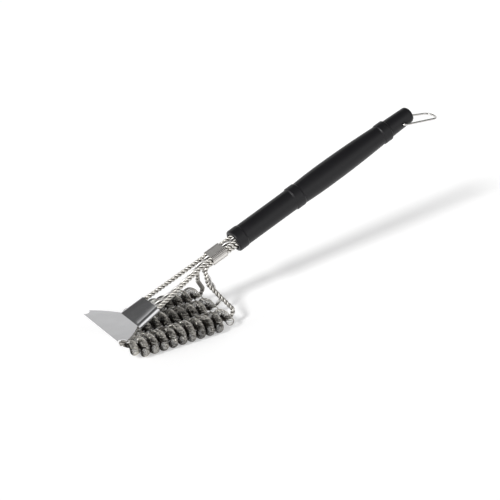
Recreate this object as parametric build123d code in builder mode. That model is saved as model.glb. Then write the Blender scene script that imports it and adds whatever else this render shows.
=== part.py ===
from build123d import *
import os
from math import cos, hypot, pi, radians, sin, sqrt, tan

# Grill cleaning brush: three wound cleaning coils on three wire frames, a scraper plate folded over
# the frames' stems, a clamp sleeve, a hollow handle and a hang loop.
# The brush stands on its coils at z = 0 with the handle raised. +X runs towards the hang loop, +Z is
# up, and the object is symmetrical about the plane y = 0 but for its coils, its middle stem and the
# left frame's front bend and rear leg. The origin is the flat under the third full turn of the middle
# coil, at the middle of the head.
# Millimetres and degrees.

# ------------------------------------------------------------------ driving dimensions
# Wire frames: each is a pair of twisted strands, one rod of the pair's outer diameter here
wire_d = 5.3
wire_gap = 0.2               # between neighbouring wires in the sleeve and the handle
seat_clearance = 0.05        # between a wire and the sheet that is folded round it

# Cleaning coils
coil_d = 26.3
coil_pitch = 12.05
right_coil_turns = 9         # full turns, from the top of the first to the top of the last
middle_coil_turns = 7        # shorter at the front, where the middle stem comes down
left_coil_turns = 6
coil_front_run, coil_rear_run = 12.0, 11.0   # runs of a whole turn and a half turn that close the ends
coil_front_drop, coil_rear_drop = 2.6, 3.9   # how far below the wire's axis these turns pass
coil_front_shares = (0.25, 0.5, 0.75, 1)     # shares of the run behind each quarter turn
coil_rear_shares = (0.42, 1)
coil_clearance = 0.1         # between the turns and the wire that they are wound round
coil_floor_cut = 0.5         # the turns are flattened by this much where they stand
turns_ahead_of_origin = 4.5  # of the right coil
row_gap = 5.7                # between neighbouring coils

# Handle and its axis
handle_tilt = 21.75
head_x = -46.7               # where the stations along the handle's axis begin
axis_rise = 1.7              # axis above the scraper's bend line, at that place
handle_mouth = 148.8         # station of the handle's open end
flange_length, flange_r = 12.2, 13.5
grip_front_length, grip_front_r, grip_front_rear_r = 73.3, 12.8, 12.95
node_length, node_front_r, node_rear_r = 11.5, 14.0, 12.8
node_slope = 1.3
neck_r, neck_rise = 13.2, 0.06
swell_length, swell_peak, swell_r, waist_r = 123.5, 40.0, 14.35, 12.0
tail_length, tail_front_r, tail_r = 35.8, 11.0, 9.8
tail_round = 4.5
mouth_round, step_round = 2.0, 0.7
mouth_clearance = 1.0        # between the outermost wires and the handle's bore
cavity_wall = 3.2
cavity_tail = 44.0           # solid end of the handle, which holds the loop's hole

# Plug inside the handle that holds the wire ends
plug_depth = 16.0
plug_length = 40.0
wire_end_margin = 6.0        # plug behind the wire ends

# Clamp sleeve
sleeve_station = 113.7
sleeve_length = 19.6
sleeve_wall = 0.8
sleeve_rib_r = 0.45
sleeve_rib_angles = (15, 40, 65)     # ribs pressed along both upper shoulders, from the vertical

# Scraper plate
plate_t = 1.0
blade_clearance = 4.9        # bend line above the coils
bend_offset = -0.7           # bend line behind head_x
bracket_tilt = 26.0
bracket_length = 30.2
blade_rise = 1.4
bend_half_width = 18.5
blade_reach, blade_half_width = 36.5, 37.1
corner_reach, corner_half_width = 27.1, 41.8
flare_sag = 1.6              # how far the flared sides curve in from straight
notch_r, notch_reach = 6.0, 32.8
edge_bevel = 0.8
bend_inner_r = 1.2
hem_root = 0.3               # how far the rolled hems reach into the flat of the bracket

# Course of the wire frames
fan_station = 106.0          # where the stems begin to spread
fan_rear, fan_front = 13.8, 16.5      # outer stems from the middle, at the bracket's two ends
stem_overrun, middle_stem_overrun = 2.5, 3.8     # straight runs of the stems ahead of the bracket
middle_stem_y = -6.5         # the middle stem passes under the bracket nearer the right one
middle_sag = 3.4             # it hangs this much below a straight line
nose_reach, middle_nose_reach = 21.3, 10.5   # front bends ahead of the first top of the right coil
left_nose_back = 6.5         # the left frame's front bend lies this much farther back
splay_reach = 11.3           # outer stems follow the flared edge of the blade as far as here
splay_inset, splay_rise = 0.7, 13.6          # that place from the coil's wire
nose_outset, nose_top_rise = 1.3, 13.3       # top of the front bend from the coil's wire
nose_back, nose_inset, nose_rise = 1.0, 4.7, 8.0     # foot of that bend from its top and the coil's wire
wire_before_coil = 2.3       # the outer wires run level from here, ahead of the first top of the right coil
leg_drop, left_leg_drop = 11.7, 15.5         # rear legs turn down this far ahead of the sleeve
leg_split_x, leg_split_y, leg_split_z = 2.5, 2.5, 19.6   # where the outer rear legs spread, from the top
knee_x, knee_z = 4.3, 8.1    # rear knee from the end of the coil's wire
middle_knee_drop = 1.2       # the middle knee is this much lower
wire_after_coil, middle_wire_after_coil = 0.6, 3.6

# Hang loop
loop_wire_d = 2.5
loop_running_clearance = 0.06
loop_hole_from_end = 18.4
loop_angle = -4.4            # direction of the loop from the horizontal
loop_length = 55.5
loop_side_clearance = 1.0    # between the loop's legs and the handle's side
loop_mouth_r, loop_mouth_angle = 2.4, 60     # countersink of the loop's hole
loop_apex_half_width, loop_apex_flat = 9.4, 0.4
loop_corner_r = 2.4
loop_end_gap = 1.0           # between the wire's two ends inside the handle

# ------------------------------------------------------------------ derived places
wire_r = wire_d / 2
wire_pitch = wire_d + wire_gap
row_offset = wire_pitch / 2
row_y = coil_d + row_gap
core_z = coil_d / 2 - coil_floor_cut
coil_tube_d = (coil_d - wire_d) / 2 - coil_clearance
coil_mean_r = (coil_d - coil_tube_d) / 2
coil_front_x = -turns_ahead_of_origin * coil_pitch
coil_last_top_x = coil_front_x + right_coil_turns * coil_pitch
coil_rear_x = coil_last_top_x + coil_rear_run

bend_x = head_x + bend_offset
bend_z = coil_d - coil_floor_cut + blade_clearance
axis_height = bend_z + axis_rise
tilt = radians(handle_tilt)
handle_plane = Plane(origin=(head_x, 0, axis_height), x_dir=(cos(tilt), 0, sin(tilt)), z_dir=(0, -1, 0))
bracket_angle = radians(bracket_tilt)
bracket_plane = Plane(
    origin=(bend_x, 0, bend_z),
    x_dir=(cos(bracket_angle), 0, sin(bracket_angle)),
    z_dir=(-sin(bracket_angle), 0, cos(bracket_angle)),
)
stem_depth = plate_t + seat_clearance + wire_r

mouth_r = hypot(wire_pitch, row_offset) + wire_r + mouth_clearance
plug_station = handle_mouth + plug_depth
plug_end = plug_station + plug_length
wire_end_station = plug_end - wire_end_margin


def along_handle(station, rise, y):
    """Point at a station along the handle's axis, a height square to it and a distance sideways."""
    return handle_plane.from_local_coords((station, rise, -y))


def under_bracket(reach, y):
    """Point on the centre line of a stem that lies against the underside of the bracket."""
    return bracket_plane.from_local_coords((reach, y, -stem_depth))


def stem_spread(reach):
    """Distance of the outer stems from the middle at a reach along the bracket."""
    return fan_front + (fan_rear - fan_front) * reach / bracket_length


# ------------------------------------------------------------------ wire frames
fan_bend_r = 60.0
sag_bend_r = 120.0
stem_bend_r, middle_stem_bend_r = 5.0, 14.0
splay_bend_r = 14.0
coil_entry_r = 8.0
leg_bend_r = 6.5
split_bend_r = 10.0
nose_round, exit_round, knee_round = 0.46, 0.6, 0.45     # bend radii as shares of the run they turn
stem_rear_reach = bracket_length + 3.0       # the stems run straight this far under the bracket


def outer_route(side):
    """Corner points and bend radii of an outer frame: top wire, nose, coil's wire, rear leg, lower wire."""
    y = side * wire_pitch
    stem_front = under_bracket(-stem_overrun, side * stem_spread(-stem_overrun))
    front_x = coil_front_x if side < 0 else coil_front_x + left_nose_back
    splay = Vector(front_x - splay_reach, side * (row_y - splay_inset), core_z + splay_rise)
    nose_top = Vector(front_x - nose_reach, side * (row_y + nose_outset), core_z + nose_top_rise)
    nose_low = Vector(nose_top.X + nose_back, side * (row_y - nose_inset), core_z + nose_rise)
    coil_entry = Vector(coil_front_x - wire_before_coil, side * row_y, core_z)
    coil_exit = Vector(coil_rear_x + wire_after_coil, side * row_y, core_z)
    knee = coil_exit + Vector(knee_x, 0, knee_z)
    drop = leg_drop if side < 0 else left_leg_drop
    leg_top = along_handle(sleeve_station - drop, -row_offset, y)
    leg_split = leg_top + Vector(leg_split_x, side * leg_split_y, -leg_split_z)
    nose_r = (nose_top - nose_low).length * nose_round
    knee_run = (knee - coil_exit).length
    corners = [
        (along_handle(wire_end_station, row_offset, y), 0),
        (along_handle(fan_station, row_offset, y), fan_bend_r),
        (under_bracket(stem_rear_reach, side * stem_spread(stem_rear_reach)), fan_bend_r),
        (stem_front, stem_bend_r),
        (splay, splay_bend_r),
        (nose_top, nose_r),
        (nose_low, nose_r),
        (coil_entry, coil_entry_r),
        (coil_exit, knee_run * exit_round),
        (knee, knee_run * knee_round),
        (leg_split, split_bend_r),
        (leg_top, leg_bend_r),
        (along_handle(wire_end_station, -row_offset, y), 0),
    ]
    return corners


def middle_route():
    """Corner points and bend radii of the middle frame, which lies in the plane y = 0 but for its stem."""
    stem_front = under_bracket(-middle_stem_overrun, middle_stem_y)
    stem_rear = under_bracket(stem_rear_reach, middle_stem_y)
    stem_top = along_handle(fan_station, row_offset, 0)
    stem_middle = (stem_rear + stem_top) * 0.5 - handle_plane.y_dir * middle_sag
    nose_top = Vector(coil_front_x - middle_nose_reach, 0, stem_front.Z)
    nose_low = Vector(nose_top.X, 0, core_z)
    coil_exit = Vector(coil_rear_x + middle_wire_after_coil, 0, core_z)
    knee = coil_exit + Vector(knee_x, 0, knee_z - middle_knee_drop)
    leg_top = along_handle(sleeve_station - leg_drop, -row_offset, 0)
    nose_r = (nose_top.Z - nose_low.Z) * nose_round
    knee_run = (knee - coil_exit).length
    corners = [
        (along_handle(wire_end_station, row_offset, 0), 0),
        (stem_top, fan_bend_r),
        (stem_middle, sag_bend_r),
        (stem_rear, fan_bend_r),
        (stem_front, middle_stem_bend_r),
        (nose_top, nose_r),
        (nose_low, nose_r),
        (coil_exit, knee_run * exit_round),
        (knee, knee_run * knee_round),
        (leg_top, leg_bend_r),
        (along_handle(wire_end_station, -row_offset, 0), 0),
    ]
    return corners


def make_frame(corners):
    """One rod along a route of straight runs joined by arcs."""
    with BuildPart() as frame:
        with BuildLine() as route:
            FilletPolyline(*[point for point, _ in corners], radius=[r for _, r in corners[1:-1]])
        path = route.wire()
        with BuildSketch(Plane(origin=path @ 0, z_dir=path % 0)):
            Circle(wire_r)
        sweep(path=path)
    expected = pi * wire_r**2 * path.length
    print(f"frame: volume {frame.part.volume:.0f}, section times length {expected:.0f}")
    return frame


wire_frame_left = make_frame(outer_route(1))
wire_frame_middle = make_frame(middle_route())
wire_frame_right = make_frame(outer_route(-1))


# ------------------------------------------------------------------ cleaning coils
gap_step, gap_skip_turns = 1.5, 0.65         # points along a coil, and how much of a turn is its own


def coil_stations(turns):
    """Points and directions every quarter turn of a right-handed coil, from the top of its first turn
    to the top of its last. It ends in narrower turns, a whole one at the front and half a one behind."""
    lead = coil_pitch / (2 * pi)
    first_x = coil_last_top_x - turns * coil_pitch

    def on_turn(angle, x, radius, centre_z, advance):
        point = Vector(x, -radius * sin(angle), centre_z + radius * cos(angle))
        direction = Vector(advance, -radius * cos(angle), -radius * sin(angle)).normalized()
        return point, direction

    def end_turn(top_x, run, drop, shares, way):
        radius = (coil_mean_r + drop) / 2
        end_lead = run / (len(shares) * pi / 2)
        return [
            on_turn(way * i * pi / 2, top_x + way * run * share, radius, coil_mean_r - radius, end_lead)
            for i, share in enumerate(shares, 1)
        ]

    full_turns = [
        on_turn(i * pi / 2, first_x + i * coil_pitch / 4, coil_mean_r, 0, lead) for i in range(4 * turns + 1)
    ]
    front = end_turn(first_x, coil_front_run, coil_front_drop, coil_front_shares, -1)
    rear = end_turn(coil_last_top_x, coil_rear_run, coil_rear_drop, coil_rear_shares, 1)
    return front[::-1] + full_turns + rear


def biarc_joint(p0, t0, p1, t1):
    """Where two tangent arcs between p0 and p1 meet, and their direction there."""
    v = p1 - p0
    a = 2 * (t0.dot(t1) - 1)
    b = -2 * v.dot(t0 + t1)
    d = (-b - sqrt(b * b - 4 * a * v.dot(v))) / (2 * a)
    c0 = p0 + t0 * d
    c1 = p1 - t1 * d
    return (c0 + c1) * 0.5, (c1 - c0).normalized()


def least_gap(path):
    """Least distance between the surfaces of two turns, measured on points along the tube."""
    count = int(path.length / gap_step)
    points = [path @ (i / count) for i in range(count + 1)]
    skip = int(gap_skip_turns * 2 * pi * coil_mean_r / gap_step)
    least = min(
        (points[i] - points[j]).length for i in range(count + 1) for j in range(i + skip, count + 1)
    )
    return least - coil_tube_d


def make_coil(y, turns, frame):
    """One unbroken tube wound round the frame's wire, flattened where it stands on the floor."""
    stations = [(p + Vector(0, y, core_z), t) for p, t in coil_stations(turns)]
    with BuildPart() as coil:
        with BuildLine() as turns_line:
            for (p0, t0), (p1, t1) in zip(stations, stations[1:]):
                joint, t_joint = biarc_joint(p0, t0, p1, t1)
                TangentArc(p0, joint, tangent=t0)
                TangentArc(joint, p1, tangent=t_joint)
        path = turns_line.wire()
        with BuildSketch(Plane(origin=path @ 0, z_dir=path % 0)):
            Circle(coil_tube_d / 2)
        sweep(path=path)
        add(frame.part, mode=Mode.SUBTRACT)
        split(bisect_by=Plane.XY, keep=Keep.TOP)
    tightest = min(edge.radius for edge in path.edges())
    print(f"coil: least gap to itself {least_gap(path):.2f}, tightest arc {tightest:.2f}, "
          f"tube radius {coil_tube_d / 2:.2f}, solids {len(coil.solids())}")
    return coil


cleaning_coil_left = make_coil(row_y, left_coil_turns, wire_frame_left)
cleaning_coil_middle = make_coil(0, middle_coil_turns, wire_frame_middle)
cleaning_coil_right = make_coil(-row_y, right_coil_turns, wire_frame_right)

# ------------------------------------------------------------------ scraper plate
blade_angle = radians(blade_rise)
blade_dir = Vector(-cos(blade_angle), 0, sin(blade_angle))
blade_normal = Vector(sin(blade_angle), 0, cos(blade_angle))
bend_top = Vector(bend_x, 0, bend_z)
blade_front = bend_top + blade_dir * blade_reach
bracket_rear = bend_top + bracket_plane.x_dir * bracket_length
mitre = (blade_normal + bracket_plane.z_dir).normalized()
bend_bottom = bend_top - mitre * (plate_t / mitre.dot(blade_normal))


def plan(reach, y):
    """Plan position of a place on the blade."""
    return (bend_x - reach * cos(blade_angle), y)


with BuildPart() as scraper_plate:
    # bent sheet, seen from the side and drawn across the full width
    with BuildSketch(Plane.XZ) as side_view:
        with BuildLine():
            Polyline(
                (blade_front.X, blade_front.Z),
                (bend_top.X, bend_top.Z),
                (bracket_rear.X, bracket_rear.Z),
                *[(p.X, p.Z) for p in (
                    bracket_rear - bracket_plane.z_dir * plate_t,
                    bend_bottom,
                    blade_front - blade_dir * edge_bevel - blade_normal * plate_t,
                )],
                close=True,
            )
        make_face()
        for corner, radius in ((bend_top, bend_inner_r), (bend_bottom, bend_inner_r + plate_t)):
            fillet(side_view.vertices().sort_by_distance(Vector(corner.X, corner.Z, 0))[0], radius)
    extrude(amount=corner_half_width, both=True)
    # outline seen from above
    with BuildSketch(Plane.XY) as outline:
        with BuildLine():
            rear_x = bend_x + bracket_length * cos(bracket_angle)
            for side in (1, -1):
                start = Vector(*plan(0, side * bend_half_width))
                end = Vector(*plan(corner_reach, side * corner_half_width))
                chord = end - start
                inward = Vector(chord.Y, -chord.X).normalized() * side
                ThreePointArc(start, (start + end) * 0.5 + inward * flare_sag, end)
                Line(end, plan(blade_reach, side * blade_half_width))
                Line((bend_x, side * bend_half_width), (bend_x, side * fan_front))
                Line((bend_x, side * fan_front), (rear_x, side * fan_rear))
            Line(plan(blade_reach, blade_half_width), plan(blade_reach, -blade_half_width))
            Line((rear_x, fan_rear), (rear_x, -fan_rear))
        make_face()
        with Locations(plan(notch_reach, corner_half_width), plan(notch_reach, -corner_half_width)):
            Circle(notch_r, mode=Mode.SUBTRACT)
    extrude(amount=bracket_rear.Z + plate_t, mode=Mode.INTERSECT)
    # side hems, rolled half way round the outer stems
    for side in (1, -1):
        stem_start = under_bracket(0, side * fan_front)
        stem_end = under_bracket(bracket_length, side * fan_rear)
        stem_dir = (stem_end - stem_start).normalized()
        outward = stem_dir.cross(bracket_plane.z_dir) * -side
        hem_plane = Plane(origin=stem_start, x_dir=outward, z_dir=stem_dir)
        with BuildSketch(hem_plane):
            Circle(wire_r + seat_clearance + plate_t)
            Circle(wire_r + seat_clearance, mode=Mode.SUBTRACT)
            with Locations((-wire_d - hem_root, 0)):
                Rectangle(2 * wire_d, 4 * wire_d, mode=Mode.SUBTRACT)
        extrude(amount=(stem_end - stem_start).length)

# ------------------------------------------------------------------ clamp sleeve
sleeve_plane = Plane(origin=along_handle(sleeve_station, 0, 0), x_dir=(0, 1, 0), z_dir=handle_plane.x_dir)
sleeve_bore_w = 2 * wire_pitch + wire_d + 2 * seat_clearance
sleeve_bore_h = wire_pitch + wire_d + 2 * seat_clearance
sleeve_corner_r = wire_r + sleeve_wall

with BuildPart() as clamp_sleeve:
    with BuildSketch(sleeve_plane):
        RectangleRounded(sleeve_bore_w + 2 * sleeve_wall, sleeve_bore_h + 2 * sleeve_wall, sleeve_corner_r)
        for side in (1, -1):
            for rib_angle in sleeve_rib_angles:
                across = sleeve_bore_w / 2 - wire_r + sleeve_corner_r * sin(radians(rib_angle))
                above = sleeve_bore_h / 2 - wire_r + sleeve_corner_r * cos(radians(rib_angle))
                with Locations((side * across, above)):
                    Circle(sleeve_rib_r)
        RectangleRounded(sleeve_bore_w, sleeve_bore_h, wire_r, mode=Mode.SUBTRACT)
    extrude(amount=sleeve_length)

# ------------------------------------------------------------------ handle
flange_end = handle_mouth + flange_length
node_1 = flange_end + grip_front_length
swell_start = node_1 + node_length + node_slope
node_2 = swell_start + swell_length
tail_start = node_2 + node_length + node_slope
handle_end = tail_start + tail_length
loop_station = handle_end - loop_hole_from_end
cavity_r = tail_front_r - cavity_wall
cavity_end = handle_end - cavity_tail
loop_side_r = tail_front_r + (tail_r - tail_front_r) * (loop_station - tail_start) / tail_length
loop_hole_r = loop_wire_d / 2 + loop_running_clearance

with BuildPart() as handle_grip:
    with BuildSketch(handle_plane):
        with BuildLine():
            front = FilletPolyline(
                (handle_mouth, mouth_r),
                (handle_mouth, flange_r),
                (flange_end, flange_r),
                (flange_end + node_slope, grip_front_r),
                (node_1, grip_front_rear_r),
                (node_1 + node_slope, node_front_r),
                (node_1 + node_length, node_front_r),
                (swell_start, neck_r),
                (swell_start + node_slope, neck_r + neck_rise),
                radius=[mouth_round, step_round, step_round, step_round, step_round, step_round, 0],
            )
            peak = (swell_start + swell_peak, swell_r)
            TangentArc(peak, front @ 1, tangent=(-1, 0))
            rear_arc = TangentArc(peak, (node_2, waist_r), tangent=(1, 0))
            FilletPolyline(
                rear_arc @ 1,
                (node_2 + node_slope, node_rear_r),
                (node_2 + node_length, node_rear_r),
                (tail_start, tail_front_r),
                (handle_end, tail_r),
                (handle_end, 0),
                radius=[step_round, step_round, step_round, tail_round],
            )
            Polyline(
                (handle_end, 0),
                (cavity_end, 0),
                (cavity_end, cavity_r),
                (plug_end, cavity_r),
                (plug_end, mouth_r),
                (handle_mouth, mouth_r),
            )
        make_face()
    revolve(axis=Axis(handle_plane.origin, handle_plane.x_dir))
    # cross hole for the hang loop, countersunk on both sides and turned round the loop's pivot
    sink_depth = (loop_mouth_r - loop_hole_r) / tan(radians(loop_mouth_angle / 2))
    pivot_plane = Plane(origin=along_handle(loop_station, 0, 0), x_dir=(0, 1, 0), z_dir=handle_plane.x_dir)
    half_hole = [
        (loop_side_r - sink_depth, loop_hole_r),
        (loop_side_r, loop_mouth_r),
        (tail_front_r, loop_mouth_r),
        (tail_front_r, 0),
    ]
    with BuildSketch(pivot_plane):
        with BuildLine():
            Polyline(*[(-across, r) for across, r in reversed(half_hole)], *half_hole, close=True)
        make_face()
    revolve(axis=Axis(pivot_plane.origin, pivot_plane.x_dir), mode=Mode.SUBTRACT)

# ------------------------------------------------------------------ plug that holds the wire ends
with BuildPart() as wire_plug:
    with BuildSketch(Plane(origin=along_handle(plug_station, 0, 0), z_dir=handle_plane.x_dir)):
        Circle(mouth_r)
    extrude(amount=plug_length)
    for frame in (wire_frame_left, wire_frame_middle, wire_frame_right):
        add(frame.part, mode=Mode.SUBTRACT)

# ------------------------------------------------------------------ hang loop
loop_dir = radians(loop_angle)
loop_plane = Plane(
    origin=along_handle(loop_station, 0, 0),
    x_dir=(cos(loop_dir), 0, sin(loop_dir)),
    z_dir=(-sin(loop_dir), 0, cos(loop_dir)),
)
loop_half_width = loop_side_r + loop_side_clearance + loop_wire_d / 2
loop_apex_r = loop_apex_half_width - loop_apex_flat

with BuildPart() as hang_loop:
    with BuildLine(loop_plane) as loop_path:
        FilletPolyline(
            (0, loop_end_gap / 2),
            (0, loop_half_width),
            (loop_length, loop_apex_half_width),
            (loop_length, -loop_apex_half_width),
            (0, -loop_half_width),
            (0, -loop_end_gap / 2),
            radius=[loop_corner_r, loop_apex_r, loop_apex_r, loop_corner_r],
        )
    path = loop_path.wire()
    with BuildSketch(Plane(origin=path @ 0, z_dir=path % 0)):
        Circle(loop_wire_d / 2)
    sweep(path=path)

# ------------------------------------------------------------------ labels and files
pieces = {
    "handle_grip": handle_grip,
    "wire_plug": wire_plug,
    "hang_loop": hang_loop,
    "clamp_sleeve": clamp_sleeve,
    "scraper_plate": scraper_plate,
    "wire_frame_left": wire_frame_left,
    "wire_frame_middle": wire_frame_middle,
    "wire_frame_right": wire_frame_right,
    "cleaning_coil_left": cleaning_coil_left,
    "cleaning_coil_middle": cleaning_coil_middle,
    "cleaning_coil_right": cleaning_coil_right,
}
os.makedirs("parts", exist_ok=True)
for label, piece in pieces.items():
    piece.part.label = label
    export_step(piece.part, f"parts/{label}.step")
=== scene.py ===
# %% [markdown]
# # A grill cleaning brush
# The brush is long: a moulded handle, three twisted wire frames, three large cleaning springs wound
# round them, a bent scraper, a sleeve and a wire loop to hang it by. The solid model already fixes every
# size and place. This notebook loads it, keeps the pieces whose shape is final, and builds the wire work,
# whose look lies in its strands and in its thousands of small windings.

# %% Load the solid model
import math
import bpy
import numpy as np
from mathutils import Matrix, Vector


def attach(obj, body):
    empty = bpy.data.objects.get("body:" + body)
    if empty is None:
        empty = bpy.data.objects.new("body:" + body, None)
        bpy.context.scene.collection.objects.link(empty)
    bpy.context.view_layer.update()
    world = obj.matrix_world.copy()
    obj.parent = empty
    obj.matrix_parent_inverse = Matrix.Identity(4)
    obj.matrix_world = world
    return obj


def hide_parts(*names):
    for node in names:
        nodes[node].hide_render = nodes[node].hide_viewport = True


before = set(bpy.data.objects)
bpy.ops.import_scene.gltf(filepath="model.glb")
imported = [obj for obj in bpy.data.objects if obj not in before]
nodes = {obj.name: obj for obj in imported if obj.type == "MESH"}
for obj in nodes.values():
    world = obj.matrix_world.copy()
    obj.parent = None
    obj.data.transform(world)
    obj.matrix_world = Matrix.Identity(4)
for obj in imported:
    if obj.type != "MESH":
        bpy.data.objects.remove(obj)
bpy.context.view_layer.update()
mm = 0.001
print("nodes:", sorted(nodes))

# %% [markdown]
# ## Camera
# The photograph is taken from the scraper's side, a little above, with a long lens, so parallel lines
# stay nearly parallel. The camera is placed by its direction and distance from a point on the handle's
# line, which is easier to reason about than a position.

# %% Camera
target = Vector((114.36, 0, 70.76)) * mm
camera_turn, camera_rise = math.radians(-34.38), math.radians(26.057)
camera_distance = 1823.9 * mm
focal_px, photo_px, sensor_mm = 1595.82, 500, 36.0
towards_camera = Vector((
    math.sin(camera_turn) * math.cos(camera_rise),
    -math.cos(camera_turn) * math.cos(camera_rise),
    math.sin(camera_rise),
))
camera_data = bpy.data.cameras.new("Camera")
camera_data.sensor_width = sensor_mm
camera_data.lens = focal_px / photo_px * sensor_mm
camera = bpy.data.objects.new("Camera", camera_data)
camera.location = target + camera_distance * towards_camera
camera.rotation_euler = towards_camera.to_track_quat("Z", "Y").to_euler()
bpy.context.scene.collection.objects.link(camera)
bpy.context.scene.camera = camera
bpy.context.scene.view_settings.view_transform = "Standard"
print("lens, mm:", round(camera_data.lens, 1))

# %% [markdown]
# ## Shader maths
# A finish is a node material. Long sums of Math nodes are hard to read, so a small class wraps a node's
# output and turns `+`, `-`, `*` and `**` into those nodes. `between` makes the ramps that most masks on
# this brush are: how far a place lies between two heights or two stations.

# %% Shader maths


class Field:
    """A value that changes over a surface, for use in sums."""

    def __init__(self, finish, socket):
        self.finish = finish
        self.socket = socket

    def math(self, operation, *others, clamp=False):
        settings = {"operation": operation, "use_clamp": clamp}
        return self.finish.node("Math", settings, dict(enumerate((self, *others))))

    def __add__(self, other):
        return self.math("ADD", other)

    def __sub__(self, other):
        return self.math("SUBTRACT", other)

    def __rsub__(self, other):
        return (self * -1) + other

    def __mul__(self, other):
        return self.math("MULTIPLY", other)

    def __pow__(self, other):
        return self.math("POWER", other)

    __radd__ = __add__
    __rmul__ = __mul__

    def between(self, low, high):
        """0 below low, 1 above high, and a straight ramp between them."""
        return self.math("SUBTRACT", low).math("DIVIDE", high - low, clamp=True)


# %% [markdown]
# ## A finish and its nodes
# Every other node comes from one method, `node`, which takes the node's type, its settings and what goes
# into its sockets. The few nodes that this brush needs again and again, such as a noise of a given size,
# get a method of their own, so that each finish below reads like its recipe.

# %% A finish and its nodes


class Finish:
    """A material with one Principled shader, and the nodes that feed it."""

    def __init__(self, name):
        self.material = bpy.data.materials.new(name)
        self.material.use_nodes = True
        self.tree = self.material.node_tree
        self.shader = self.tree.nodes["Principled BSDF"]
        self.place = self.node("TexCoord", output="Object")

    def node(self, kind, settings=None, inputs=None, output=0):
        made = self.tree.nodes.new("ShaderNode" + kind)
        for key, value in (settings or {}).items():
            setattr(made, key, value)
        for key, value in (inputs or {}).items():
            self.feed(made.inputs[key], value)
        return Field(self, made.outputs[output])

    def feed(self, socket, value):
        if isinstance(value, Field):
            self.tree.links.new(value.socket, socket)
        elif socket.type == "RGBA":
            socket.default_value = (*value, 1)
        else:
            socket.default_value = value

    def set(self, **inputs):
        for key, value in inputs.items():
            self.feed(self.shader.inputs[key.replace("_", " ")], value)

    def axes(self):
        """The x, y and z of each place."""
        first = self.node("SeparateXYZ", None, {"Vector": self.place})
        return [Field(self, socket) for socket in first.socket.node.outputs]

    def stretched(self, scale):
        """The piece's coordinates, stretched by a scale for each axis."""
        return self.node("Mapping", None, {"Vector": self.place, "Scale": scale})

    def noise(self, size, detail=2.0, where=None):
        """Noise whose grains are about `size` metres across."""
        inputs = {"Vector": where or self.place, "Scale": 1 / size, "Detail": detail}
        return self.node("TexNoise", None, inputs)

    def mix(self, factor, colour_a, colour_b):
        """colour_a where the factor is 0, colour_b where it is 1."""
        # the node's sockets for numbers, vectors and colours share their names, so they go by number
        return self.node("Mix", {"data_type": "RGBA"}, {0: factor, 6: colour_a, 7: colour_b}, output=2)

    def bump(self, height, depth):
        """Roughens the surface by a height field, `depth` metres deep."""
        self.set(Normal=self.node("Bump", None, {"Height": height, "Distance": depth, "Strength": 1.0}))

    def attribute(self, name):
        return self.node("Attribute", {"attribute_name": name}, output="Fac")


def dress(piece, finish):
    """Gives a piece one finish all over."""
    piece.data.materials.clear()
    piece.data.materials.append(finish.material)
    print(f"{piece.name}: {finish.material.name}, {len(piece.data.polygons)} faces")


# %% [markdown]
# ## Handle
# The handle is injection moulded and matt: nearly black, with a fine spark-eroded grain that scatters
# the light into a soft stripe. Its shape is turned, and the solid model has it all, so only the finish
# is new. The grain is a noise of a few tenths of a millimetre in the bump, and a slower noise makes the
# roughness uneven, as on plastic that hands have polished. The plug that holds the wires' tails sits
# deep in the handle's mouth and is simply dark.

# %% Handle finish
grain_size, grain_depth, handling_size = 0.35 * mm, 0.03 * mm, 18 * mm
matt_black, handled_black = (0.0042, 0.0041, 0.0052), (0.0068, 0.0065, 0.0078)
black_plastic = Finish("Black moulded plastic")
grain = black_plastic.noise(grain_size, detail=3)
handling = black_plastic.noise(handling_size, detail=3)
black_plastic.set(
    Base_Color=black_plastic.mix(handling, matt_black, handled_black),
    Roughness=0.38 + 0.09 * handling,
    Specular_IOR_Level=0.34,
)
black_plastic.bump(grain, grain_depth)
dress(nodes["handle_grip"], black_plastic)

mottle_size, core_dark, core_light = 2 * mm, (0.004, 0.004, 0.004), (0.01, 0.01, 0.01)
dark_core = Finish("Dark core")
mottle = dark_core.noise(mottle_size)
dark_core.set(Base_Color=dark_core.mix(mottle, core_dark, core_light), Roughness=0.8)
dress(nodes["wire_plug"], dark_core)

# %% [markdown]
# ## Scraper
# The scraper is bent from bright steel sheet, and the mill leaves very fine lines in one direction. A
# noise can draw them when its coordinates are stretched: it stays smooth along the lines and is quick
# across them. The same noise goes into the roughness and, very weakly, into the bump.

# %% Scraper finish
lines_per_metre = (60, 2600, 60)
grey_sheet, bright_sheet = (0.60, 0.60, 0.61), (0.68, 0.68, 0.69)
sheet_steel = Finish("Brushed sheet steel")
mill_lines = sheet_steel.noise(1, detail=4, where=sheet_steel.stretched(lines_per_metre))
clouding = sheet_steel.noise(14 * mm, detail=3)
sheet_steel.set(
    Base_Color=sheet_steel.mix(clouding, grey_sheet, bright_sheet),
    Metallic=1.0,
    Roughness=0.12 + 0.06 * mill_lines + 0.05 * clouding,
)
print("mill lines per metre:", lines_per_metre)

# %% [markdown]
# ## Swell of the bracket
# A thin sheet is never quite flat, and this one swells a little where its hems pull it down over the
# outer stems. Both are far too shallow for the outline, so they go into the bump. The stems spread
# towards the scraper's edge, so the swell is found from the reach along the slanting bracket: at each
# reach the stem has its own distance from the middle.

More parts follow.
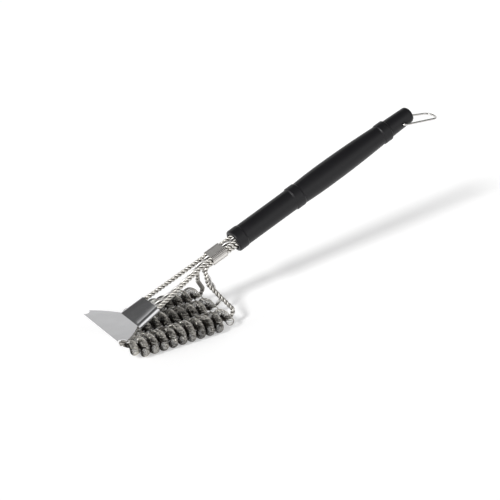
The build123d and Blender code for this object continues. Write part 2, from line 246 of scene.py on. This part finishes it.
# %% Swell of the bracket
bend_at, bracket_tilt, bracket_length = Vector((-47.4, 0, 30.7)) * mm, math.radians(26), 30.2 * mm
stem_y_front, stem_y_rear = 16.5 * mm, 13.8 * mm
swell_width, swell_run, wave_size = 9 * mm, 4 * mm, 26 * mm
swell_height, wave_height, line_height = 0.5, 0.15, 0.006     # of the bump's depth
bump_depth = 1 * mm
along, across, up = sheet_steel.axes()
reach = (along - bend_at.x) * math.cos(bracket_tilt) + (up - bend_at.z) * math.sin(bracket_tilt)
stem_y = stem_y_front - reach * ((stem_y_front - stem_y_rear) / bracket_length)
near_stem = 1 - (stem_y - across.math("ABSOLUTE")).between(0, swell_width)
swell = near_stem ** 2 * reach.between(0, swell_run)
waviness = sheet_steel.noise(wave_size, detail=1)
relief = swell_height * swell + wave_height * waviness + line_height * mill_lines
sheet_steel.bump(relief, bump_depth)
dress(nodes["scraper_plate"], sheet_steel)

# %% [markdown]
# ## Painted shade in the sleeve
# The sleeve is pressed from zinc plated sheet, with ribs on its shoulders, and shade is painted into the
# valleys between the ribs. The ribs are in the solid model, evenly spaced round each shoulder, so a
# cosine of the angle round the shoulder finds the valleys between them. The sleeve slants with the
# handle, so the angle is taken in its own upright section.

# %% Painted shade between the ribs
sleeve_at, sleeve_tilt = Vector((58.906, 0, 74.532)) * mm, math.radians(21.75)
shoulder_y, shoulder_rise = 5.55 * mm, 2.8 * mm
first_rib, rib_step = 15, 25          # degrees round the shoulder, from the vertical
fade_from, fade_to = -0.2 * mm, 0.3 * mm
plated_sheet = Finish("Zinc plated sheet")
along, across, up = plated_sheet.axes()
rise = (up - sleeve_at.z) * math.cos(sleeve_tilt) - (along - sleeve_at.x) * math.sin(sleeve_tilt)
aside = across.math("ABSOLUTE") - shoulder_y
above = rise - shoulder_rise
from_rib = (aside.math("ARCTAN2", above) - math.radians(first_rib)) * (360 / rib_step)
# painted shade: dark in the valleys between the ribs
sleeve_shade = (0.5 - 0.5 * from_rib.math("COSINE")) * aside.between(fade_from, fade_to)
sleeve_shade = sleeve_shade * above.between(fade_from, fade_to)
print("valleys round each shoulder every", rib_step, "degrees")

# %% [markdown]
# ## Sleeve
# Below the ribs a few dark lines of painted shade run along the sleeve's upright side, each found by its
# height. The plating itself is duller than the scraper: a cloudy, rougher surface.

# %% Sleeve finish
creases = ((2.3 * mm, 0.28 * mm), (0.7 * mm, 0.2 * mm), (-3.4 * mm, 0.22 * mm))     # rise, half a width
crease_fade = 1.6                     # half widths from a crease's middle to where it has faded
side_from, side_to = 1.5 * mm, 2.2 * mm
# dull and bright zinc, and the dark colour of the painted shade
dull_zinc, bright_zinc, sleeve_shade_colour = (0.68, 0.66, 0.63), (0.84, 0.82, 0.79), (0.06, 0.05, 0.045)
on_side = aside.between(side_from, side_to)
# painted shade lines along the side, each at its own rise
for crease_rise, crease_half in creases:
    from_crease = (rise - crease_rise).math("ABSOLUTE")
    crease = 1 - from_crease.between(crease_half, crease_fade * crease_half)
    sleeve_shade = sleeve_shade.math("MAXIMUM", crease * on_side)
plating = plated_sheet.noise(3 * mm, detail=4)
zinc = plated_sheet.mix(plating, dull_zinc, bright_zinc)
plated_sheet.set(
    # the painted shade of the rib valleys and of the lines on the side is mixed into the plating
    Base_Color=plated_sheet.mix(sleeve_shade, zinc, sleeve_shade_colour),
    Metallic=1.0,
    Roughness=0.38 + 0.14 * plating,
)
dress(nodes["clamp_sleeve"], plated_sheet)

# %% [markdown]
# ## Hanging loop
# The loop is one bent steel wire, polished by its drawing. Its shape is in the solid model. It could be
# a plain mirror, but a faint noise in its roughness keeps the long reflections from looking like glass.

# %% Loop finish
shaded_steel, shiny_steel = (0.58, 0.57, 0.55), (0.70, 0.69, 0.67)
polished_wire = Finish("Polished wire")
polish = polished_wire.noise(5 * mm, detail=3)
polished_wire.set(
    Base_Color=polished_wire.mix(polish, shaded_steel, shiny_steel),
    Metallic=1.0,
    Roughness=0.14 + 0.1 * polish,
)
dress(nodes["hang_loop"], polished_wire)

# %% [markdown]
# ## Corners of the frames
# Each frame is two wires twisted together and bent by a machine: straight runs, joined by round bends.
# So a frame is described as on a bender's drawing, by its corners and the radius of each bend, here in
# metres and as in the solid model. The outer frames mirror each other, but for how far back the front
# bend lies and where the rear leg splits off and turns down.

# %% Corners


def outer_corners(side, setback, leg_split, leg_top):
    """Corners and bend radii of an outer frame. The leg's places are its x and z."""
    (split_x, split_z), (top_x, top_z) = leg_split, leg_top
    corners = [
        ((0.13693, 0.00550, 0.10862), 0.0),
        ((0.05073, 0.00550, 0.07423), 0.06),
        ((-0.01594, 0.01353, 0.04193), 0.06),
        ((-0.04803, 0.01672, 0.02628), 0.005),
        ((-0.06552 + setback, 0.03130, 0.02625), 0.014),
        ((-0.07553 + setback, 0.03330, 0.02595), 0.00371),
        ((-0.07453 + setback, 0.02730, 0.02065), 0.00371),
        ((-0.05652, 0.03200, 0.01265), 0.008),
        ((0.06582, 0.03200, 0.01265), 0.0055),
        ((0.07012, 0.03200, 0.02075), 0.00413),
        ((split_x, 0.00800, split_z), 0.01),
        ((top_x, 0.00550, top_z), 0.0065),
        ((0.13897, 0.00550, 0.10351), 0.0),
    ]
    return [((x, side * y, z), radius) for (x, y, z), radius in corners]


left_corners = outer_corners(1, 0.0065, leg_split=(0.04803, 0.04663), leg_top=(0.04553, 0.06623))
right_corners = outer_corners(-1, 0, leg_split=(0.05156, 0.04804), leg_top=(0.04906, 0.06764))
middle_corners = [
    ((0.13693, 0.0, 0.10862), 0.0),
    ((0.05073, 0.0, 0.07423), 0.06),
    ((0.01866, -0.00325, 0.05492), 0.12),
    ((-0.01594, -0.0065, 0.04193), 0.06),
    ((-0.04919, -0.0065, 0.02571), 0.014),
    ((-0.06472, 0.0, 0.02571), 0.00601),
    ((-0.06472, 0.0, 0.01265), 0.00601),
    ((0.06882, 0.0, 0.01265), 0.00488),
    ((0.07312, 0.0, 0.01955), 0.00366),
    ((0.04906, 0.0, 0.06764), 0.0065),
    ((0.13897, 0.0, 0.10351), 0.0),
]
print("corners:", len(left_corners), len(middle_corners), len(right_corners))

# %% [markdown]
# ## Routes of the frames
# A Bezier curve draws straight runs and round bends exactly when every bend has a point where it starts
# and one where it ends, with handles of the length that makes a circular arc: four thirds of the tangent
# of a quarter of the turn, times the radius. On a straight run the handles lie a third of the way along.

# %% Routes
curve_steps = 24


def draw_route(name, corners):
    """A Bezier curve of straight runs and circular bends."""
    points = [Vector(point) for point, _ in corners]
    stops = [(points[0], Vector(), Vector())]
    for before, at, after, (_, radius) in zip(points, points[1:], points[2:], corners[1:]):
        arrive, leave = (at - before).normalized(), (after - at).normalized()
        turn = arrive.angle(leave)
        reach = radius * math.tan(turn / 2)
        bow = 4 / 3 * math.tan(turn / 4) * radius
        stops.append((at - arrive * reach, None, arrive * bow))
        stops.append((at + leave * reach, -leave * bow, None))
    stops.append((points[-1], Vector(), Vector()))
    data = bpy.data.curves.new(name, "CURVE")
    data.dimensions = "3D"
    data.twist_mode = "MINIMUM"
    data.resolution_u = curve_steps
    spline = data.splines.new("BEZIER")
    spline.bezier_points.add(len(stops) - 1)
    for i, (at, back, ahead) in enumerate(stops):
        knot = spline.bezier_points[i]
        knot.handle_left_type = knot.handle_right_type = "FREE"
        knot.co = at
        before = stops[i - 1][0] if i else at
        after = stops[i + 1][0] if i + 1 < len(stops) else at
        knot.handle_left = at + (back if back is not None else (before - at) / 3)
        knot.handle_right = at + (ahead if ahead is not None else (after - at) / 3)
    spline.bezier_points[0].handle_right = stops[0][0].lerp(stops[1][0], 1 / 3)
    spline.bezier_points[-1].handle_left = stops[-1][0].lerp(stops[-2][0], 1 / 3)
    route = bpy.data.objects.new(name, data)
    bpy.context.scene.collection.objects.link(route)
    return route


routes = {
    "left": draw_route("route_left", left_corners),
    "middle": draw_route("route_middle", middle_corners),
    "right": draw_route("route_right", right_corners),
}
for side, route in routes.items():
    print(side, "route, mm:", round(route.data.splines[0].calc_length() / mm, 1))

# %% [markdown]
# ## Twisted strands
# A strand is easiest to make straight and to bend afterwards. A circle is the wire's section. The Screw
# modifier turns it round the pair's axis while it pulls it along, and the Curve modifier then bends the
# straight strand along the frame's route. The section is stretched a little sideways, because the wire
# crosses it at a slant. The outer pairs have a short lay, and the middle pair a long one. A float
# attribute keeps how deep each vertex lies in the groove between the strands, for the finish to darken.

# %% One strand
strand_d, strand_sides = 2.65 * mm, 12
lays = {"left": 9.2 * mm, "middle": 26 * mm, "right": 9.2 * mm}     # length of one whole twist
section_run = 0.575 * mm              # from one section of a strand to the next


def select_none():
    bpy.ops.object.select_all(action="DESELECT")


def close_ends():
    """Closes the open ends of the active tube."""
    bpy.ops.object.mode_set(mode="EDIT")
    bpy.ops.mesh.select_all(action="SELECT")
    bpy.ops.mesh.fill_holes(sides=0)
    bpy.ops.mesh.normals_make_consistent(inside=False)
    bpy.ops.object.mode_set(mode="OBJECT")


def mark_groove(strand):
    """Keeps how deep each vertex of a straight strand lies in the groove of its pair."""
    places = np.zeros(len(strand.data.vertices) * 3, np.float32)
    strand.data.vertices.foreach_get("co", places)
    places = places.reshape(-1, 3)
    depth = 1 - np.hypot(places[:, 1], places[:, 2]) / strand_d
    groove = strand.data.attributes.new("groove", "FLOAT", "POINT")
    groove.data.foreach_set("value", depth.astype(np.float32))


def make_strand(side, letter, turned):
    length = routes[side].data.splines[0].calc_length()
    turns = round(length / lays[side])
    slant = math.atan(math.pi * strand_d / lays[side])
    select_none()
    bpy.ops.mesh.primitive_circle_add(
        vertices=strand_sides, radius=strand_d / 2, rotation=(0, math.pi / 2, 0)
    )
    strand = bpy.context.active_object
    strand.name = f"frame_strand_{side}_{letter}"
    strand.scale = (1 / math.cos(slant), 1, 1)
    strand.location = (0, strand_d / 2, 0)
    bpy.ops.object.transform_apply(location=True, rotation=True, scale=True)
    strand.data.transform(Matrix.Rotation(turned, 4, "X"))
    screw = strand.modifiers.new("Lay", "SCREW")
    screw.axis = "X"
    screw.angle = 2 * math.pi
    screw.screw_offset = length / turns
    screw.iterations = turns
    screw.steps = screw.render_steps = round(lays[side] / section_run)
    bpy.ops.object.modifier_apply(modifier="Lay")
    close_ends()
    mark_groove(strand)
    bend = strand.modifiers.new("Bend", "CURVE")
    bend.object = routes[side]
    bend.deform_axis = "POS_X"
    bpy.ops.object.modifier_apply(modifier="Bend")
    bpy.ops.object.shade_smooth()
    return strand


# %% [markdown]
# ## Wire of the frames
# The frames' wire is zinc plated, and the middle pair is painted brighter: a painted highlight. Shade is
# painted onto the wire in the grooves between the strands, inside the springs and on the rear legs, and
# the noses are darker. Each of these is a mask, and the darkest of them wins, so the masks are joined by
# MAXIMUM.

# %% Wire finish
# how dark the painted shade on the legs is, more on the left leg, and how dark the noses are
leg_shade, left_leg_shade, nose_darkening = 0.2, 0.45, 0.6
groove_from, groove_to = 0.24, 0.62   # depths in the groove
wire_shade_colour = (0.06, 0.05, 0.04)


def wire_finish(name, plain_colour):
    """Wire with painted shade in its grooves, inside the springs and on its rear legs, and darker at its
    noses.
    """
    finish = Finish(name)
    ahead, aside, height = finish.axes()
    # painted shade on the core wire inside the springs, below their turns
    shade_in_springs = (1 - height.between(15 * mm, 17 * mm)) * (1 - ahead.between(58 * mm, 64 * mm))
    # painted shade on the rear legs, deeper on the left leg
    leg = ahead.between(44 * mm, 50 * mm) * (1 - height.between(54 * mm, 64 * mm))
    shaded_legs = leg * (leg_shade + left_leg_shade * aside.between(2 * mm, 6 * mm))
    # the noses are darker
    nose = nose_darkening * (1 - ahead.between(-66 * mm, -60 * mm))
    # painted shade in the grooves between the strands
    darkening = finish.attribute("groove").between(groove_from, groove_to)
    for dark in (shade_in_springs, shaded_legs, nose):
        darkening = darkening.math("MAXIMUM", dark)
    streaks = finish.noise(1.6 * mm, detail=3)
    finish.set(
        Base_Color=finish.mix(darkening, plain_colour, wire_shade_colour),
        Metallic=1.0,
        Roughness=0.38 + 0.1 * streaks + 0.15 * darkening,
    )
    return finish


zinc_wire = wire_finish("Zinc plated wire", (0.72, 0.70, 0.66))
# the middle pair is painted brighter: a painted highlight along its straight wires
highlighted_wire = wire_finish("Wire with painted highlight", (0.97, 0.96, 0.94))
wire_finishes = {"left": zinc_wire, "middle": highlighted_wire, "right": zinc_wire}
print("wire finishes:", [finish.material.name for finish in (zinc_wire, highlighted_wire)])

# %% [markdown]
# ## Twisting the pairs
# The two strands of a pair are the same shape, half a turn apart. Each takes part in the scene in place
# of the solid model's plain rod, which stands for the whole pair.

# %% Twist the pairs
for side in routes:
    node = f"wire_frame_{side}"
    for letter, turned in (("a", 0), ("b", math.pi)):
        strand = make_strand(side, letter, turned)
        dress(strand, wire_finishes[side])
        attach(strand, "brush")
        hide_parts(node)

# %% [markdown]
# ## Line of a cleaning spring
# Each row is one thin wire, wound into a close spring, and that spring is wound again round the frame.
# The second winding carries the section of the first with it, pointing away from the frame's wire, so
# the line is worked out point by point: a large helix with a small oval one round it. The large helix is
# the solid model's: whole turns from a top to a top, a narrower turn that closes the front and half a
# one that closes the rear, where the windings were pulled open to hook the spring on. Use has laid the
# windings over, so their side away from the scraper runs ahead, and no two are quite alike.

# %% Sizes of the springs
core_z, row_y = 12.65 * mm, 32 * mm
winding_r, pitch, last_top_x = 7.95 * mm, 12.05 * mm, 54.225 * mm
front_r, front_run = 5.275 * mm, 12 * mm
rear_r, rear_run, rear_turn = 5.925 * mm, 11 * mm, 0.5
rear_even, rear_pulled = 0.68, 0.32   # shares of the rear run that are even, and pulled open
half_height, half_width = 5.0 * mm, 4.4 * mm
settled = 0.15 * mm                   # how much less high the windings lie than that
windings_per_turn, windings_at_rear = 42, 13
opening = 1.5                         # power by which the windings open towards the rear end
windings_lie_over = 4.0 * mm
uneven_height, uneven_width, uneven_lean = 0.03, 0.05, 0.25 * mm
counted_places, points_per_winding = 4000, 14
print("windings on a whole turn:", windings_per_turn)

# %% [markdown]
# ## Painted light on a winding
# A float attribute will tell the finish how much painted light each place of the wire gets. A winding's
# outer side and its side away from the scraper are painted lit, and its other side and the part near the
# frame's wire are painted in shade. Some windings get more of this painted light
# than others.

# %% One spring's line
# painted light: the side of a winding that is painted lit, and how strongly on each winding
lit_towards = -0.7                 # radians round a winding, from its outermost point
least_lit, most_lit = 0.65, 1.25


def spring_line(turns, seed):
    """Centre line of the thin wire, round the x axis, and how much painted light each point gets."""
    random = np.random.default_rng(seed)
    fine = np.linspace(-1, turns + rear_turn, counted_places)
    closed = np.clip((turns + rear_turn - fine) / rear_turn, 0, 1) ** opening
    density = windings_at_rear + (windings_per_turn - windings_at_rear) * closed
    wound = np.concatenate(([0], np.cumsum((density[1:] + density[:-1]) / 2 * np.diff(fine))))
    count = int(wound[-1])
    phase = np.linspace(0, count, count * points_per_winding + 1)
    turn = np.interp(phase, wound, fine)
    in_front, behind = np.clip(-turn, 0, 1), np.clip(turn - turns, 0, rear_turn) / rear_turn
    x = last_top_x - pitch * turns + pitch * np.clip(turn, 0, turns)
    x += rear_run * (rear_even * behind + rear_pulled * behind**2) - front_run * in_front
    radius = np.where(in_front > 0, front_r, np.where(behind > 0, rear_r, winding_r))
    angle = 2 * math.pi * turn
    centre = np.stack([x, -radius * np.sin(angle), winding_r - radius + radius * np.cos(angle)], 1)
    along = np.gradient(centre, axis=0)
    along /= np.linalg.norm(along, axis=1, keepdims=True)
    out = np.stack([np.zeros_like(angle), -np.sin(angle), np.cos(angle)], 1)
    out -= along * (out * along).sum(1, keepdims=True)
    out /= np.linalg.norm(out, axis=1, keepdims=True)
    across = np.cross(along, out)
    knots = random.normal(0, 1, (count + 2, 4))
    uneven = np.stack([np.interp(phase, np.arange(count + 2), knots[:, i]) for i in range(4)], 1)
    small = 2 * math.pi * phase
    height = half_height * (1 + uneven_height * uneven[:, 0]) - settled
    width = half_width * (1 + uneven_width * uneven[:, 1])
    lean = uneven_lean * uneven[:, 2]
    line = (
        centre
        + out * (height * np.cos(small))[:, None]
        + across * (width * np.sin(small))[:, None]
        + along * (lean * np.cos(small + uneven[:, 3]) - windings_lie_over * np.sin(small))[:, None]
    )
    # painted light on one side of each winding, stronger on some windings than on others
    light_scale = random.uniform(least_lit, most_lit, count + 1)[phase.astype(int)]
    return line, light_scale * (0.5 + 0.5 * np.cos(small - lit_towards))


# %% [markdown]
# ## From a line to a spring
# A real spring can't enter the frame's wire, nor stick out past the rows, so each point of the line is
# first pushed out of that core and back inside a rim. Near the nose the core rises and turns inwards
# with the frame. A curve with a round bevel then gives the line its thickness, and becomes a mesh.

# %% One spring
spring_wire_d = 0.6 * mm
core_clearance, rim_r = 3.0 * mm, 12.8 * mm
entry_x = -56.5 * mm                  # where the core leaves the row
entry_rise, entry_inset = 0.444, 0.261
least_distance = 1e-6                 # keeps a point on the core itself from a division by zero


def make_spring(name, y, turns, seed):
    line, lit_side = spring_line(turns, seed)
    past_entry = np.maximum(entry_x - line[:, 0], 0)
    inset = -math.copysign(entry_inset, y) * past_entry
    core = np.stack([0 * past_entry, inset, entry_rise * past_entry], 1)
    line -= core
    from_core = np.hypot(line[:, 1], line[:, 2])
    push = np.clip(from_core, core_clearance, rim_r) / np.maximum(from_core, least_distance)
    line[:, 1:] *= push[:, None]
    line += core + (0, y, core_z)
    line[:, 2] = np.maximum(line[:, 2], spring_wire_d / 2)
    data = bpy.data.curves.new(name, "CURVE")
    data.dimensions = "3D"
    data.bevel_depth = spring_wire_d / 2
    data.bevel_resolution = 1
    spline = data.splines.new("POLY")
    spline.points.add(len(line) - 1)
    spline.points.foreach_set("co", np.column_stack([line, np.ones(len(line))]).ravel())
    spline.use_smooth = True
    spring = bpy.data.objects.new(name, data)
    bpy.context.scene.collection.objects.link(spring)
    select_none()
    spring.select_set(True)
    bpy.context.view_layer.objects.active = spring
    bpy.ops.object.convert(target="MESH")
    spring = bpy.context.active_object
    close_ends()
    around = len(spring.data.vertices) // len(line)
    # the painted light of each point, kept for the finish
    lit_share = np.repeat(lit_side, around).astype(np.float32)
    spring.data.attributes.new("lit_side", "FLOAT", "POINT").data.foreach_set("value", lit_share)
    print(name, "windings:", len(line) // points_per_winding)
    return spring


# %% [markdown]
# ## Wire of the springs
# The springs' wire is bright steel on its painted-lit side and black on its side in painted shade. It is
# also darker low on the turns, except towards the scraper, which is lighter. Patches
# of tarnish dull the lit places, so no two turns shine alike.

# %% Spring finish
spring_shade_colour, spring_lit_colour = (0.025, 0.022, 0.019), (1.0, 0.97, 0.9)
front_lightening, low_darkening, tarnish_depth = 0.12, 0.85, 0.4
spring_wire = Finish("Spring wire")
ahead, _, height = spring_wire.axes()
low = 1 - height.between(3 * mm, 10 * mm)
back = ahead.between(-55 * mm, -15 * mm)
# painted light, plus lighter towards the scraper
lit_side = (spring_wire.attribute("lit_side") + front_lightening * (1 - back)).between(0.5, 0.9)
# darker low on the turns, except towards the scraper
lit_mask = lit_side * (1 - low_darkening * low * back)
tarnish = spring_wire.noise(3 * mm, detail=3)
shine = lit_mask * (1.0 - tarnish_depth * tarnish.between(0.4, 0.7))
spring_wire.set(
    # mixes the painted shade colour and the painted light colour
    Base_Color=spring_wire.mix(shine, spring_shade_colour, spring_lit_colour),
    Metallic=1.0,
    Roughness=0.17 + 0.12 * tarnish,
)
print("spring finish nodes:", len(spring_wire.tree.nodes))

# %% [markdown]
# ## Winding the springs
# The three springs differ in their turns: the left and middle ones end farther back, under the scraper.
# Each has its own seed, so that its unevenness is its own and comes out the same on every run. The
# routes have served their purpose by now and are removed.

# %% Wind the springs
rows = (("left", row_y, 6, 11), ("middle", 0, 7, 12), ("right", -row_y, 9, 13))     # place, turns, seed
for side, y, turns, seed in rows:
    spring = make_spring(f"cleaning_spring_{side}", y, turns, seed)
    dress(spring, spring_wire)
    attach(spring, "brush")
    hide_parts(f"cleaning_coil_{side}")

for route in routes.values():
    bpy.data.objects.remove(route)

# %% [markdown]
# ## Studio
# The brush stands on a white table under soft light. A black handle is a mirror of its studio, so the
# world is made from what the handle shows: a bright wall behind it up to some 28 degrees, darkness
# overhead, and one large soft lamp behind the camera, which draws the stripe along the handle. A picture
# of a studio could light it too, but a few ramps over the direction of view are easier to adjust.

# %% World
wall_dim, wall_bright = 0.12, 0.78
wall_top_from, wall_top_to = 0.46, 0.56
wall_side_from, wall_side_to = -0.25, 0.15
lamp_x, lamp_y, lamp_z = 0.19, -0.915, 0.353
lamp_strength, lamp_edge = 1.4, 0.65
world = bpy.data.worlds.new("Studio")
bpy.context.scene.world = world
world.use_nodes = True


class Sky(Finish):
    """The same node helpers for the world, whose place is the direction of view."""

    def __init__(self, world):
        self.tree = world.node_tree
        self.shader = self.tree.nodes["Background"]
        self.place = self.node("TexCoord", output="Generated")


sky = Sky(world)
right, away, up = sky.axes()
wall = wall_dim + wall_bright * (1 - up.between(wall_top_from, wall_top_to)) * away.between(
    wall_side_from, wall_side_to
)
facing_lamp = right * lamp_x + away * lamp_y + up * lamp_z
lamp = lamp_strength * facing_lamp.between(lamp_edge, 1.0) ** 2
sky.set(Color=wall + lamp)
print("world nodes:", len(sky.tree.nodes))

# %% [markdown]
# ## Lamps
# A sun from the scraper's side draws the long shadow of the handle. A sun gives parallel light, as a far
# studio lamp does, and its angle sets how soft the shadow's edge is. A weak, low and very soft one
# deepens the shade behind the head.

# %% Lamps
suns = (
    ("Key", (-0.7285, -0.3397, 0.5948), 2.4, 9),
    ("Low", (-0.905, 0.127, 0.407), 0.5, 25),
)
for name, towards, energy, spread in suns:
    sun_data = bpy.data.lights.new(name, "SUN")
    sun_data.energy = energy
    sun_data.angle = math.radians(spread)
    sun = bpy.data.objects.new(name, sun_data)
    sun.rotation_euler = Vector(towards).to_track_quat("Z", "Y").to_euler()
    bpy.context.scene.collection.objects.link(sun)
    print(name, "sun, degrees across:", spread)

# %% [markdown]
# ## Table
# The table is one large plane. It has to look white, as in the photograph, and still keep the brush's
# shadow. So a faint glow is added to its matt white, but only for what is seen of it, directly, in a
# mirror or through glass: the light that it throws back onto the brush stays that of a plain table.

# %% Table
table_size, table_white, table_glow = 12, (0.8, 0.8, 0.8), 0.36
select_none()
bpy.ops.mesh.primitive_plane_add(size=table_size, location=(0, 0, 0))
floor = bpy.context.active_object
floor.name = "floor"
table = Finish("White table")
table.set(Base_Color=table_white, Roughness=0.9)
matt = Field(table, table.shader.outputs[0])
glow = table.node("Emission", None, {"Color": (1, 1, 1), "Strength": table_glow})
lit = table.node("AddShader", None, {0: matt, 1: glow})
seen_directly = table.node("LightPath", output="Is Camera Ray")
seen_mirrored = table.node("LightPath", output="Is Glossy Ray")
seen_through = table.node("LightPath", output="Is Transmission Ray")
seen = seen_directly.math("MAXIMUM", seen_mirrored).math("MAXIMUM", seen_through)
chosen = table.node("MixShader", None, {0: seen, 1: matt, 2: lit})
table.tree.links.new(chosen.socket, table.tree.nodes["Material Output"].inputs["Surface"])
dress(floor, table)
